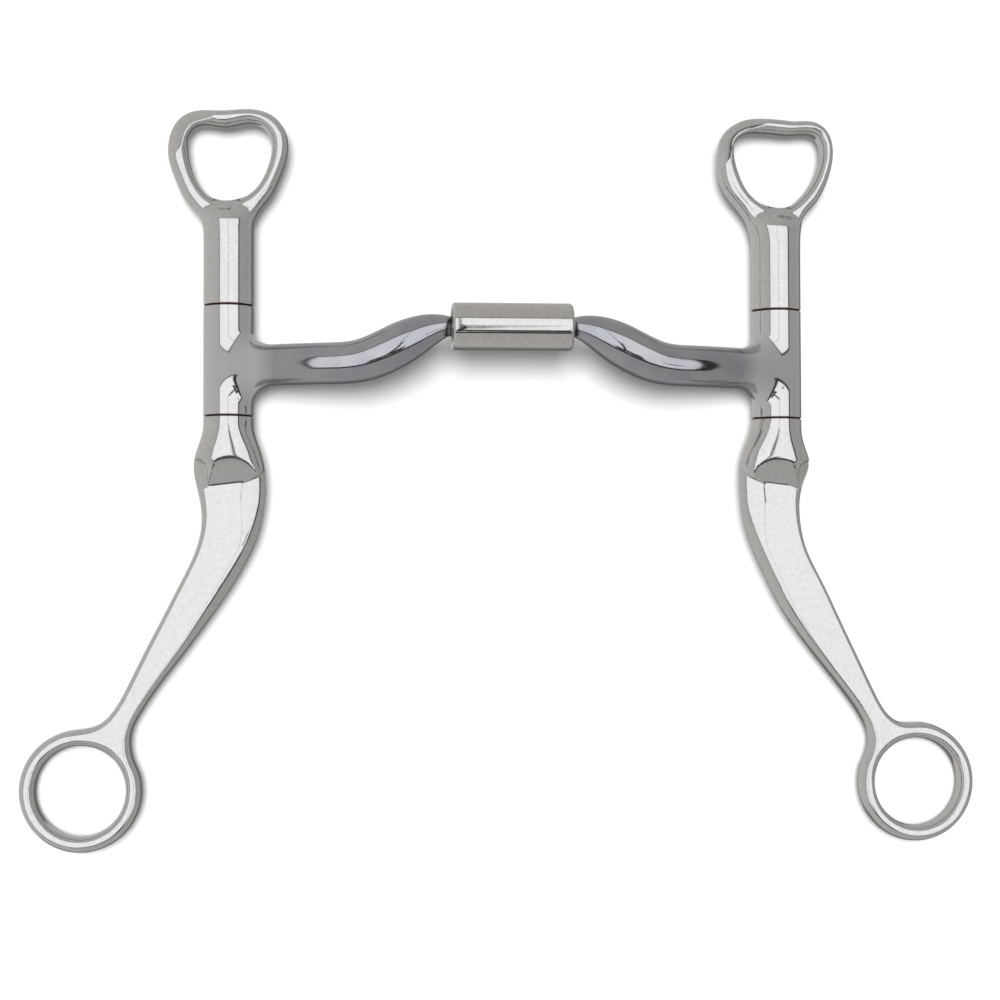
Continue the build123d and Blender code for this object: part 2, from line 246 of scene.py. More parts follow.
class CurbBitSettings(bpy.types.PropertyGroup):
    """Everything that can be set on a curb bit."""

    sizes: bpy.props.PointerProperty(type=CurbBitSizes, name="Sizes", description="Sizes of the pieces")
    finish: bpy.props.PointerProperty(type=CurbBitFinish, name="Finish", description="Colours and polish")
    studio: bpy.props.PointerProperty(type=CurbBitStudio, name="Studio", description="Light and camera")


def sizes_in_mm():
    """The lengths of the size settings in millimetres, by name, with the lean in radians."""
    sizes = bpy.context.scene.curb_bit.sizes
    lengths = {name: getattr(sizes, name) / MM for name in sizes.__annotations__ if name != "cheek_lean"}
    return {**lengths, "cheek_lean": sizes.cheek_lean}


# Curves and grids

def curve_through(points, count, closed=False):
    """Count points, evenly spaced along the cubic spline through the given points.

    The spline's knots are the running sum of the chords, its curvature is continuous, and an open
    one has no curvature at its ends. A closed one returns to its first point, which isn't repeated.
    """
    knots_at = np.asarray(points, float)
    if closed:
        knots_at = np.vstack([knots_at, knots_at[:1]])
    chord = np.linalg.norm(np.diff(knots_at, axis=0), axis=1)
    knot = np.concatenate([[0.0], np.cumsum(chord)])
    slope = np.diff(knots_at, axis=0) / chord[:, None]
    size = len(knots_at)
    matrix = np.zeros((size, size))
    right = np.zeros((size, 2))
    inner = np.arange(1, size - 1)
    matrix[inner, inner - 1] = chord[:-1]
    matrix[inner, inner] = 2 * (chord[:-1] + chord[1:])
    matrix[inner, inner + 1] = chord[1:]
    right[inner] = 6 * np.diff(slope, axis=0)
    matrix[0, 0] = 1
    if closed:
        matrix[0, -1] = -1
        matrix[-1, [0, 1, -2, -1]] += [2 * chord[0], chord[0], chord[-1], 2 * chord[-1]]
        right[-1] = 6 * (slope[0] - slope[-1])
    else:
        matrix[-1, -1] = 1
    bend = np.linalg.solve(matrix, right)

    along = np.linspace(0, knot[-1], 4000)
    span = np.clip(np.searchsorted(knot, along, side="right") - 1, 0, size - 2)
    after = ((along - knot[span]) / chord[span])[:, None]
    before = 1 - after
    lift = (chord[span] ** 2 / 6)[:, None]
    fine = (before * knots_at[span] + after * knots_at[span + 1]
            + lift * ((before**3 - before) * bend[span] + (after**3 - after) * bend[span + 1]))
    return spaced(fine, count, closed)


def spaced(line, count, closed=False):
    """Count points evenly spaced along a polyline; a closed one leaves out its last, which is its first."""
    run = np.concatenate([[0.0], np.cumsum(np.linalg.norm(np.diff(line, axis=0), axis=1))])
    at = np.linspace(0, run[-1], count, endpoint=not closed)
    return np.stack([np.interp(at, run, line[:, 0]), np.interp(at, run, line[:, 1])], axis=1)


def gap_to(line, across, up):
    """Shortest distance from each grid point (across, up) to a polyline, segment by segment."""
    start = line[:-1].astype(np.float32)
    step = np.diff(line, axis=0).astype(np.float32)
    squared = (step**2).sum(axis=1)
    out_across = across.reshape(-1, 1).astype(np.float32) - start[:, 0]
    out_up = up.reshape(-1, 1).astype(np.float32) - start[:, 1]
    share = np.clip((out_across * step[:, 0] + out_up * step[:, 1]) / squared, 0, 1)
    out_across -= share * step[:, 0]
    out_up -= share * step[:, 1]
    return np.sqrt((out_across**2 + out_up**2).min(axis=1)).reshape(across.shape).astype(float)


def rolled(gap, width, bevel=0.0):
    """Share of the full height at a distance gap in from an edge: a quarter ellipse, width wide,
    that a bevel lowers in proportion to the way still to go."""
    left_to_go = 1 - np.clip(gap / width, 0, 1)
    return np.sqrt(1 - left_to_go**2) * (1 - bevel * left_to_go)


def eased(value, start, end):
    """0 before start and 1 after end, with an S-shaped cubic between them."""
    share = np.clip((value - start) / (end - start), 0, 1)
    return share * share * (3 - 2 * share)


def by_height(table, up):
    """Straight-line look-up in a table of (height, value) pairs that runs downwards."""
    height, value = np.array(table[::-1], float).T
    return np.interp(up, height, value)


def blended_max(first, second, softness):
    """The larger of two heights, with their crease rounded by a hyperbola of that softness."""
    return (first + second + np.sqrt((first - second) ** 2 + softness**2)) / 2


def grid_quads(rows, columns, closed):
    """Corner numbers of the quads of a grid; a closed one joins its last column to its first."""
    row = np.arange(rows - 1)[:, None] * columns
    column = np.arange(columns if closed else columns - 1)[None, :]
    following = (column + 1) % columns
    corners = (row + column, row + following, row + columns + following, row + columns + column)
    return np.stack(np.broadcast_arrays(*corners), axis=-1).reshape(-1, 4)


def welded_piece(name, grids, sharp_degrees=34):
    """Makes one closed mesh object from grids of points in millimetres, each (points, closed).

    Points that meet to a tenth of a micron become one, quads that lose a corner become triangles,
    the faces are turned outwards, and edges sharper than sharp_degrees are shaded sharp.
    """
    points, quads, total = [], [], 0
    for grid, closed in grids:
        rows, columns = grid.shape[:2]
        points.append(grid.reshape(-1, 3))
        quads.append(grid_quads(rows, columns, closed) + total)
        total += rows * columns
    points = np.concatenate(points)
    quads = np.concatenate(quads)
    _, first, welded = np.unique(np.round(points, 4), axis=0, return_index=True, return_inverse=True)
    quads = welded.reshape(-1)[quads]
    repeated = quads == np.roll(quads, -1, axis=1)
    lost = repeated.sum(axis=1)
    triangles = quads[lost == 1][~repeated[lost == 1]].reshape(-1, 3)
    mesh = bpy.data.meshes.new(name)
    mesh.from_pydata((points[first] * MM).tolist(), [], quads[lost == 0].tolist() + triangles.tolist())
    shell = bmesh.new()
    shell.from_mesh(mesh)
    bmesh.ops.recalc_face_normals(shell, faces=shell.faces)
    shell.to_mesh(mesh)
    open_edges = sum(1 for edge in shell.edges if len(edge.link_faces) != 2)
    shell.free()
    if open_edges:
        raise RuntimeError(f"{name} is not closed: {open_edges} edges don't join two faces")
    mesh.shade_smooth()
    mesh.set_sharp_from_angle(angle=math.radians(sharp_degrees))
    return placed(name, mesh)


def placed(name, data):
    """A new object of that data, in the scene."""
    made = bpy.data.objects.new(name, data)
    bpy.context.scene.collection.objects.link(made)
    return made


def place_piece(piece, body, node, slot):
    """Puts a finished piece on its body in place of its CAD node, with its slot's finish."""
    piece.data.materials.append(finish_of(slot))
    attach(piece, body)
    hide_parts(node)


def turned_about_barrel(profile, segments):
    """Grid of a profile of (reach, radius) points turned about the barrel's axis."""
    reach, radius = np.array(profile, float).T
    angle = np.linspace(0, 2 * np.pi, segments, endpoint=False)
    return np.stack([
        np.broadcast_to(reach[:, None], (len(reach), segments)),
        BARREL_Y + radius[:, None] * np.cos(angle),
        BARREL_Z + radius[:, None] * np.sin(angle),
    ], axis=-1)


def on_cheek(side, across, up, depth, lean):
    """Places cheek points, outward of and up the spindle and above its plane, in the frame.

    The cheek's plane is turned about the spindle by the lean, its outer side downwards.
    """
    return np.stack([
        side * (SPINDLE_X + across * np.cos(lean) + depth * np.sin(lean)),
        up + 0 * across,
        SPINDLE_Z - across * np.sin(lean) + depth * np.cos(lean),
    ], axis=-1)


def front_and_back(side, across, up, height, lean, closed):
    """Front and back grids of a cheek piece, whose heights mirror each other."""
    return [(on_cheek(side, across, up, level, lean), closed) for level in (height, -height)]


def rays_between(inner, outer, count):
    """Across and up of count points on each ray from an inner to an outer line, denser at its ends."""
    share = (1 - np.cos(np.linspace(0, np.pi, count)))[:, None, None] / 2
    points = inner + (outer - inner) * share
    return points[..., 0], points[..., 1]


def there_and_back(front, back):
    """Values along a front line and back along the back line, without repeating the ends."""
    return np.concatenate([front, back[-2:0:-1]])


def socket_end(edge_across, edge_depth, end_y, into, socket_depth, size):
    """Rings that close the end of a round stock: a broken edge, a flat face and a blind socket.

    The rings are the stock's own end ring scaled about the spindle to each radius in turn.
    """
    radius, edge_break = size["stock_radius"], size["edge_break"]
    steps = [(radius, edge_break), (radius - edge_break, 0), (SOCKET_RADIUS + edge_break, 0),
             (SOCKET_RADIUS, edge_break), (SOCKET_RADIUS, socket_depth), (0.0, socket_depth)]
    return [(edge_across * r / radius, np.full_like(edge_across, end_y + into * y),
             edge_depth * r / radius) for r, y in steps]


# Shapes of the pieces

def barrel_sleeve_grid():
    """Grid of the barrel's sleeve: a tube turned about its axis, with quarter-round outer rims and
    a small chamfer at each mouth of the bore."""
    size = sizes_in_mm()
    half = sleeve_high[0]
    radius = (sleeve_high - sleeve_low)[1] / 2
    rim, bore, chamfer = size["barrel_rim"], size["barrel_bore"], 0.2
    turn = np.linspace(0, np.pi / 2, 9)
    right_rim = [(half - rim + rim * np.sin(a), radius - rim + rim * np.cos(a)) for a in turn]
    outside = [(x, radius) for x in np.linspace(-half + rim, half - rim, 12)[1:-1]]
    left_rim = [(-x, r) for x, r in reversed(right_rim)]
    mouth = [(half, bore + chamfer), (half - chamfer, bore)]
    inside = [(x, bore) for x in (half - 4, 0, 4 - half)]
    return turned_about_barrel(
        [*left_rim, *outside, *right_rim, *mouth, *inside, *[(-x, r) for x, r in reversed(mouth)],
         left_rim[0]], 144)


def arm_line(reach):
    """Centre line of an arm at each reach from the middle, and its direction away from the middle.

    It leaves the barrel along its axis, falls along an arc to the spindle's axis, and moves down the
    cheek along an S-shaped cubic between the neck and the bend, averaged over a window at the bend.
    """
    rise = BARREL_Z - SPINDLE_Z
    run = SPINDLE_X - NECK_REACH
    arc = (run**2 + rise**2) / (2 * rise)

    def place_down_cheek(at):
        window = 3.5 * np.clip((at - 22) / 10, 0, 1)
        moves = [eased(-at - step * window, -BEND_END_REACH, -NECK_REACH) for step in (-1, -0.5, 0, 0.5, 1)]
        return ROOT_Y + (BARREL_Y - ROOT_Y) * sum(moves) / len(moves)

    y, nudge = place_down_cheek(reach), 0.01
    y_slope = (place_down_cheek(reach + nudge) - place_down_cheek(reach - nudge)) / (2 * nudge)
    past = np.clip(reach - NECK_REACH, 0, None)
    fall = np.sqrt(arc**2 - past**2)
    centre = np.stack([reach, y, BARREL_Z - arc + fall], axis=-1)
    direction = np.stack([np.ones_like(reach), y_slope, -past / fall], axis=-1)
    return centre, direction / np.linalg.norm(direction, axis=-1, keepdims=True)


def mouth_arm_grids(hand):
    """Grids of a mouth arm: spigot, arched bar, flared root and the butt that its cheek turns on.

    The bar is a circle carried along the arm's line, which swells by a quarter sine from the neck
    and by a low bell curve more at the bend. At the root each line along the bar runs by a cubic
    curve on to the butt, tangent to both. The butt's outside is a grid on the unrolled cylinder,
    from the root's ring out to the butt's ends.
    """
    size = sizes_in_mm()
    radius, neck_radius, stock = size["arm_radius"], size["neck_radius"], size["stock_radius"]
    flat, sides = 64, 36
    count = 2 * (flat + sides)
    angle = np.linspace(0, 2 * np.pi, count, endpoint=False)
    cos, sin = np.cos(angle), np.sin(angle)

    def rings(reach, ring_radius):
        centre, direction = arm_line(reach)
        up_cheek = np.stack([-direction[:, 1], direction[:, 0], 0 * reach], axis=-1)
        up_cheek /= np.linalg.norm(up_cheek, axis=-1, keepdims=True)
        upward = np.cross(direction, up_cheek)
        return (centre[:, None] + ring_radius[:, None, None]
                * (cos[:, None] * up_cheek[:, None] + sin[:, None] * upward[:, None]))

    # Spigot through the bush and the collar, closed by a pole at its end
    seat_start, seat_end = collar_high[0], collar_low[0]
    spigot_reach = np.array([seat_end, seat_end, seat_start, seat_start, NECK_REACH])
    spigot_radius = np.array([0.0, SPIGOT_RADIUS, SPIGOT_RADIUS, neck_radius, neck_radius])
    bar_reach = np.linspace(NECK_REACH, ROOT_REACH, 120)[1:]
    swell = np.clip((bar_reach - NECK_REACH) / 13, 0, 1)
    bar_radius = neck_radius + (radius - neck_radius) * np.sin(swell * np.pi / 2)
    bar_radius += BELL_SWELL * np.exp(-((bar_reach - BELL_REACH) / BELL_WIDTH) ** 2)
    bar = rings(np.concatenate([spigot_reach, bar_reach]), np.concatenate([spigot_radius, bar_radius]))

    # Root: from the last ring of the bar on to the butt
    last_centre, last_direction = (value[0] for value in arm_line(bar_reach[-1:]))
    to_butt = np.array([SPINDLE_X - last_centre[0], 0, SPINDLE_Z - last_centre[2]])
    inward = to_butt / np.linalg.norm(to_butt)
    upward = np.cross(inward, [0, 1, 0])
    upward *= np.sign(upward[2])
    flare = size["root_fillet"] * (1 - 0.05 * cos)
    meet = np.arcsin(np.clip(radius * sin / stock, -1, 1))
    round_butt = stock * meet + 0.95 * flare * sin
    end_y = last_centre[1] + (radius + flare) * cos

    def about_spindle(turn, y, from_axis):
        return (np.array([SPINDLE_X, 0, SPINDLE_Z]) + np.array([0, 1.0, 0]) * y[..., None] + from_axis
                * (-np.cos(turn)[..., None] * inward + np.sin(turn)[..., None] * upward))

    end = about_spindle(round_butt / stock, end_y, stock)
    tangent = (cos[:, None] * np.array([0, 1.0, 0])
               + sin[:, None] * (np.sin(round_butt / stock)[:, None] * inward
                                 + np.cos(round_butt / stock)[:, None] * upward))
    start = bar[-1]
    span = np.linalg.norm(end - start, axis=-1, keepdims=True)
    first_pull = start + last_direction * span * 0.42
    last_pull = end - tangent * span * 0.34
    t = np.linspace(0, 1, 26)[:, None, None]
    root = ((1 - t) ** 3 * start + 3 * (1 - t) ** 2 * t * first_pull
            + 3 * (1 - t) * t**2 * last_pull + t**3 * end)

    # Outside of the butt, unrolled: round the butt and along it
    half_turn = np.pi * stock
    chamfer = size["edge_break"]
    top, bottom = BUTT_UPPER_Y - chamfer, BUTT_LOWER_Y + chamfer
    across_top = np.linspace(-half_turn, half_turn, flat + 1)
    down_side = np.linspace(top, bottom, sides + 1)
    frame_round = np.concatenate([
        across_top[:-1], np.full(sides, half_turn), across_top[:0:-1], np.full(sides, -half_turn)])
    frame_up = np.concatenate([
        np.full(flat, top), down_side[:-1], np.full(flat, bottom), down_side[:0:-1]])
    # Both start at the middle of the top, as the ring does
    frame_round, frame_up = (np.roll(value, -flat // 2) for value in (frame_round, frame_up))
    share = np.linspace(0, 1, 22)[:, None] ** 1.25
    grid_round = round_butt + (frame_round - round_butt) * share
    grid_up = end_y + (frame_up - end_y) * share
    butt = about_spindle(grid_round / stock, grid_up, stock)

    # Ends and bore of the butt, as rings about the spindle
    turn = np.linspace(-np.pi, np.pi, flat + 1)[:-1]
    upper_step, lower_step = BUTT_UPPER_Y - POCKET_DEPTH, BUTT_LOWER_Y + POCKET_DEPTH
    profile = [(stock, top), (stock - chamfer, BUTT_UPPER_Y), (POCKET_RADIUS, BUTT_UPPER_Y),
               (POCKET_RADIUS, upper_step), (RELIEF_RADIUS, upper_step), (RELIEF_RADIUS, lower_step),
               (POCKET_RADIUS, lower_step), (POCKET_RADIUS, BUTT_LOWER_Y),
               (stock - chamfer, BUTT_LOWER_Y), (stock, bottom)]
    ring_radius, ring_y = np.array(profile).T
    bore = about_spindle(turn, ring_y[:, None], ring_radius[:, None, None])
    return [(grid * [HANDS[hand], 1, 1], True) for grid in (bar, root, butt, bore)]


def purchase_grids(hand):
    """Grids of a purchase: round stock that spreads over a shoulder into the headstall loop.

    Front and back are heights over a grid of rays from the hole out to the outline. The height is
    the greater of the loop's band, which rolls over at both of its edges, and of a mound: a half
    ellipse from side to side, whose crown sinks along an S-shaped cubic from the stock's radius.
    The band's left limb is rounder on both hands, and its corner at the top left falls away.
    """
    size = sizes_in_mm()
    side, lean, stock = HANDS[hand], size["cheek_lean"], size["stock_radius"]
    ports = 61
    port_turn = np.linspace(-np.pi / 2, np.pi / 2, ports)
    port = np.stack([stock * np.sin(port_turn), np.full(ports, LOOP_PORT_Y)], axis=1)
    outline = curve_through(LOOP_OUTLINE[hand], 420)
    outer = np.concatenate([port, outline[1:-1]])
    hole = curve_through(LOOP_HOLE[hand], 600, closed=True)
    centre = np.array(LOOP_CENTRE)
    ray = np.arctan2(*(outer - centre).T[::-1])
    hole_ray = np.arctan2(*(hole - centre).T[::-1])
    order = np.argsort(hole_ray)
    hole_radius = np.interp(ray, hole_ray[order], np.linalg.norm(hole - centre, axis=1)[order],
                            period=2 * np.pi)
    inner = centre + hole_radius[:, None] * np.stack([np.cos(ray), np.sin(ray)], axis=1)
    across, up = rays_between(inner, outer, 49)

    stem = np.array([[stock, 40.0]])
    edge = np.concatenate([stem, outline, stem * [-1, 1]])
    in_from_edge = gap_to(edge[::2], across, up)
    in_from_hole = gap_to(np.vstack([hole, hole[:1]])[::3], across, up)
    leftward = -side * across
    corner = (leftward + up - LOOP_CENTRE[1]) / math.sqrt(2)
    edge_roll = 1.95 + 0.75 * eased(leftward, 2, 9) * (1 - eased(up, 84, 89))
    hole_roll = 2.05 - 1.1 * eased(corner, 9.5, 12)
    band = size["loop_depth"] / 2 * rolled(in_from_edge, edge_roll) * rolled(in_from_hole, hole_roll)
    band *= 1 - 0.11 * np.clip(corner - 10.4, 0, 6.5)
    low = outline[:, 1] < 74
    right_side = low & (outline[:, 0] > 0)
    left_side = low & (outline[:, 0] < 0)
    right_edge = np.interp(up, outline[right_side, 1], outline[right_side, 0])
    left_edge = np.interp(up, outline[left_side, 1][::-1], outline[left_side, 0][::-1])
    middle, half = (right_edge + left_edge) / 2, (right_edge - left_edge) / 2
    crown = stock + (SHOULDER_END_HEIGHT - stock) * eased(up, SHOULDER_START_Y, SHOULDER_END_Y)
    mound = crown * np.sqrt(np.clip(1 - ((across - middle) / half) ** 2, 0, 1))
    mound *= 1 - eased(up, 69, 72)
    softness = 0.06 * (mound + band) * eased(up, 64.5, 67)
    height = blended_max(mound, band, softness)
    height[0] = 0
    height[-1, ports:] = 0
    height[-1, :ports] = stock * np.cos(port_turn)
    height[-1, [0, ports - 1]] = 0

    stock_across = there_and_back(port[:, 0], port[:, 0])
    stock_depth = there_and_back(height[-1, :ports], -height[-1, :ports])
    rows = [(stock_across, np.full_like(stock_across, y), stock_depth)
            for y in np.linspace(LOOP_PORT_Y, PURCHASE_FOOT_Y + 0.5, 12)]
    rows += socket_end(stock_across, stock_depth, PURCHASE_FOOT_Y, 1, PURCHASE_SOCKET_DEPTH, size)
    return [*front_and_back(side, across, up, height, lean, True),
            (np.stack([on_cheek(side, a, y, d, lean) for a, y, d in rows]), True)]


def ring_centre(size):
    """Centre of the rein ring, outward of and up the spindle, from where the shank's box ends."""
    lean, rim, half_depth = size["cheek_lean"], 1.5, size["blade_depth"] / 2
    rim_out = (shank_high[0] - SPINDLE_X - rim - (half_depth - rim) * math.sin(lean)) / math.cos(lean)
    return np.array([rim_out + rim - size["ring_radius"], CHEEK_FOOT_Y + size["ring_radius"]])


def ring_points(size, degrees):
    """Points on the outside of the rein ring at these angles; 0 is outward and 90 is up the cheek."""
    turn = np.radians(degrees)
    return ring_centre(size) + size["ring_radius"] * np.stack([np.cos(turn), np.sin(turn)], axis=1)


def shank_height(across, up, in_from_mouth, in_from_outer, left, right, size):
    """Height of the shank's front over its middle plane.

    The blade is flat and rolls over at its two sides by quarter ellipses, lowered by bevels, whose
    widths vary down the shank. Above it stands the mound that the round stock flattens into: a
    half superellipse from side to side, which reaches less and less far outward and towards the
    mouth. A sloping plane, the facet, cuts it off. The height is the greater of blade and cut mound.
    """
    blade = (size["blade_depth"] / 2
             * rolled(in_from_mouth, by_height(MOUTH_ROLL, up), by_height(MOUTH_BEVEL, up))
             * rolled(in_from_outer, by_height(OUTER_ROLL, up), by_height(OUTER_BEVEL, up)))
    crown = size["stock_radius"] - 0.5 * eased(-up, -13.5, -5)
    power = 2 + 0.25 * eased(-up, -13.5, -6)
    outer = np.minimum(right, by_height(MOUND_OUTER, up))
    mouth = np.maximum(left, -by_height(MOUND_MOUTH, up))
    offset = np.clip(np.maximum(across / outer, across / mouth), 0, 1)
    mound = crown * (1 - offset**power) ** (1 / power)
    facet = np.maximum(crown + FACET_SLOPE * (up - FACET_TOP_Y) + FACET_TILT * across, 0)
    # The smaller of two heights is the larger of their negatives
    softness = 0.04 * np.minimum(mound, facet) * eased(-up, -9, -7)
    cut = -blended_max(-mound, -facet, softness)
    return blended_max(blade, cut, 0.05 * np.minimum(blade, cut))


def shank_grids(hand):
    """Grids of a shank: round stock, facet and blade as heights over a strip of cross lines, and the
    rein ring as heights over rays from its bore out to the outline."""
    size = sizes_in_mm()
    side, lean, stock = HANDS[hand], size["cheek_lean"], size["stock_radius"]
    centre = ring_centre(size)
    mouth = curve_through([*MOUTH_SIDE[hand], *ring_points(size, RING_JOIN_MOUTH)], 900)
    outside = curve_through([*OUTER_SIDE[hand], *ring_points(size, RING_JOIN_OUTER)], 900)

    # Cross lines, dense at the facet, level at the top and slanting down the blade
    seam = SHANK_TOP_Y
    line_up = np.concatenate([
        np.linspace(seam - 0.6, 7.5, 20), np.linspace(7.4, -4, 96), np.linspace(-4.3, -20, 46),
        np.linspace(-20.5, NECK_MOUTH_Y, 80)])
    spread = np.sin(np.linspace(-np.pi / 2, np.pi / 2, 129))
    mouth_x = np.interp(-line_up, -mouth[:, 1], mouth[:, 0])
    outer_up = line_up + by_height(CROSS_SLANT, line_up)
    outer_x = np.interp(-outer_up, -outside[:, 1], outside[:, 0])
    share = (1 + spread)[None, :] / 2
    across = mouth_x[:, None] + (outer_x - mouth_x)[:, None] * share
    up = line_up[:, None] + (outer_up - line_up)[:, None] * share
    edge_gap_mouth = gap_to(mouth[::4], across, up)
    edge_gap_outer = gap_to(outside[::4], across, up)
    height = shank_height(across, up, edge_gap_mouth, edge_gap_outer,
                          np.interp(-up, -mouth[:, 1], mouth[:, 0]),
                          np.interp(-up, -outside[:, 1], outside[:, 0]), size)
    height[:, [0, -1]] = 0

    # Round end above the strip, with its face and socket
    stock_across = stock * spread
    stock_depth = stock * np.sqrt(1 - spread**2)
    ring_across = there_and_back(across[0], across[0])
    rows = [(ring_across, np.full_like(ring_across, line_up[0]), there_and_back(height[0], -height[0]))]
    rows += socket_end(there_and_back(stock_across, stock_across),
                       there_and_back(stock_depth, -stock_depth), seam, -1, SHANK_SOCKET_DEPTH, size)
    round_end = np.stack([on_cheek(side, a, y, d, lean) for a, y, d in rows])

    # Rein ring, from its bore out to the neck's last cross line and round the outline
    below_mouth = mouth[mouth[:, 1] < line_up[-1]]
    below_outer = outside[outside[:, 1] < outer_up[-1]]
    arc = ring_points(size, np.linspace(RING_JOIN_MOUTH[-1], 360 + RING_JOIN_OUTER[-1], 400))
    around = np.concatenate([[[mouth_x[-1], line_up[-1]]], below_mouth, arc[1:-1], below_outer[::-1],
                             [[outer_x[-1], outer_up[-1]]]])
    outline = spaced(around, 300)
    neck = np.stack([across[-1], up[-1]], axis=1)[::-1]
    outer = np.concatenate([outline, neck[1:-1]])
    ray = outer - centre
    inner = centre + size["ring_bore"] * ray / np.linalg.norm(ray, axis=1, keepdims=True)
    ring_across, ring_up = rays_between(inner, outer, 37)
    whole = np.concatenate([mouth[mouth[:, 1] > line_up[-1]][-60::4], outline,
                            outside[outside[:, 1] > outer_up[-1]][-60:][::-4]])
    in_from_edge = gap_to(whole, ring_across, ring_up)
    in_from_bore = np.hypot(ring_across - centre[0], ring_up - centre[1]) - size["ring_bore"]
    turn = np.degrees(np.arctan2(ring_up - centre[1], ring_across - centre[0]))
    bore_roll = 1.6 + 0.8 * np.exp(-((turn - 135) / 32) ** 2)
    edge_roll = 1.5 + 0.3 * eased(-ring_up, 61, 68)
    ring_height = (size["blade_depth"] / 2 * rolled(in_from_edge, edge_roll)
                   * rolled(in_from_bore, bore_roll))
    ring_height[[0, -1]] = 0
    ring_height[-1, len(outline):] = height[-1, ::-1][1:-1]
    return [*front_and_back(side, across, up, height, lean, False), (round_end, True),
            *front_and_back(side, ring_across, ring_up, ring_height, lean, True)]


# Finishes

def node(tree, kind, inputs=(), **settings):
    """Adds a shader node, sets its settings, and sets or links its inputs, each (name, value)."""
    made = tree.nodes.new(kind)
    for name, value in settings.items():
        setattr(made, name, value)
    for name, value in inputs:
        if isinstance(value, bpy.types.NodeSocket):
            tree.links.new(value, made.inputs[name])
        else:
            made.inputs[name].default_value = value
    return made


def metal_tree(name):
    """An empty metal: its tree, its shader linked to the output, and the object coordinates."""
    metal = bpy.data.materials.new(name)
    metal.use_nodes = True
    tree = metal.node_tree
    tree.nodes.clear()
    shader = node(tree, "ShaderNodeBsdfPrincipled", [("Metallic", 1.0)])
    output = node(tree, "ShaderNodeOutputMaterial")
    tree.links.new(shader.outputs["BSDF"], output.inputs["Surface"])
    place = node(tree, "ShaderNodeTexCoord").outputs["Object"]
    return metal, tree, shader, place


def noise(tree, place, feature_mm, detail=3.0, stretch=(1, 1, 1)):
    """Noise whose features are feature_mm across, drawn out along an axis where stretch is below 1."""
    drawn = node(tree, "ShaderNodeMapping", [("Vector", place), ("Scale", stretch)]).outputs["Vector"]
    return node(tree, "ShaderNodeTexNoise", [
        ("Vector", drawn), ("Scale", 1 / (feature_mm * MM)), ("Detail", detail),
        ("Roughness", 0.55)]).outputs["Fac"]


def remap(tree, value, low, high, to_low, to_high):
    """A value moved from one range to another and held inside it."""
    return node(tree, "ShaderNodeMapRange", [
        ("Value", value), ("From Min", low), ("From Max", high), ("To Min", to_low),
        ("To Max", to_high)]).outputs["Result"]


def tinted(tree, share, first, second):
    """A colour between two colours by share; each is a plain colour or another node's."""
    low, high = ((*end, 1) if isinstance(end, tuple) else end for end in (first, second))
    return node(tree, "ShaderNodeMix", [(0, share), (6, low), (7, high)], data_type="RGBA").outputs[2]


def darkened(tree, colour, shade_share):
    """A colour multiplied by a grey share, which carries the painted shade of crevices."""
    return node(tree, "ShaderNodeMix", [(0, 1.0), (6, colour), (7, shade_share)], data_type="RGBA",
                blend_type="MULTIPLY").outputs[2]


def maths(tree, operation, first, second):
    """Result of a sum on two values."""
    return node(tree, "ShaderNodeMath", [(0, first), (1, second)], operation=operation).outputs[0]


def product(tree, first, second):
    """Two values multiplied."""
    return maths(tree, "MULTIPLY", first, second)


def shaded(colour, shares):
    """A plain colour with each of its channels multiplied by its share."""
    return tuple(channel * share for channel, share in zip(colour, shares))


def surfaced(tree, shader, colour, roughness, normal):
    """Gives a metal's shader its colour, roughness and bump."""
    for name, value in (("Base Color", colour), ("Roughness", roughness), ("Normal", normal)):
        tree.links.new(value, shader.inputs[name])


def bumped(tree, height, distance_mm, strength=1.0, under=None):
    """Bump of that height in millimetres, on top of another if given."""
    inputs = [("Height", height), ("Distance", distance_mm * MM), ("Strength", strength)]
    if under is not None:
        inputs.append(("Normal", under))
    return node(tree, "ShaderNodeBump", inputs).outputs["Normal"]


def painted_crevice_shade(tree, reach_mm, darkest):
    """Painted shade: a grey share from ambient occlusion that falls to darkest in crevices within that
    reach.
    """
    hidden = node(tree, "ShaderNodeAmbientOcclusion", [("Distance", reach_mm * MM)], samples=6)
    return remap(tree, hidden.outputs["AO"], 0.3, 0.82, darkest, 1.0)


def polished_steel(name, colour, roughness):
    """Hand-polished steel: faint waves, hairline scratches, a fine grain of pits, and smudges that
    vary its roughness, with painted shade that darkens it in crevices."""
    metal, tree, shader, place = metal_tree(name)
    grain = noise(tree, place, 1.1, 3)
    smudge = noise(tree, place, 9, 3)
    coloured = tinted(tree, remap(tree, grain, 0.35, 0.65, 0, 1), shaded(colour, (0.955, 0.945, 0.925)),
                      shaded(colour, (1.03, 1.03, 1.03)))
    rough = maths(tree, "ADD", remap(tree, smudge, 0.3, 0.7, roughness * 0.7, roughness * 1.6),
                  remap(tree, grain, 0.45, 0.75, 0, 0.02))
    waves = bumped(tree, noise(tree, place, 5.5, 1), 0.02)
    scratches = bumped(tree, noise(tree, place, 0.16, 2, (1, 0.06, 1)), 0.0007, 1.0, waves)
    # Painted shade: ambient occlusion darkens the colour to a tenth in crevices.
    surfaced(tree, shader, darkened(tree, coloured, painted_crevice_shade(tree, 0.5, 0.1)), rough, scratches)
    return metal


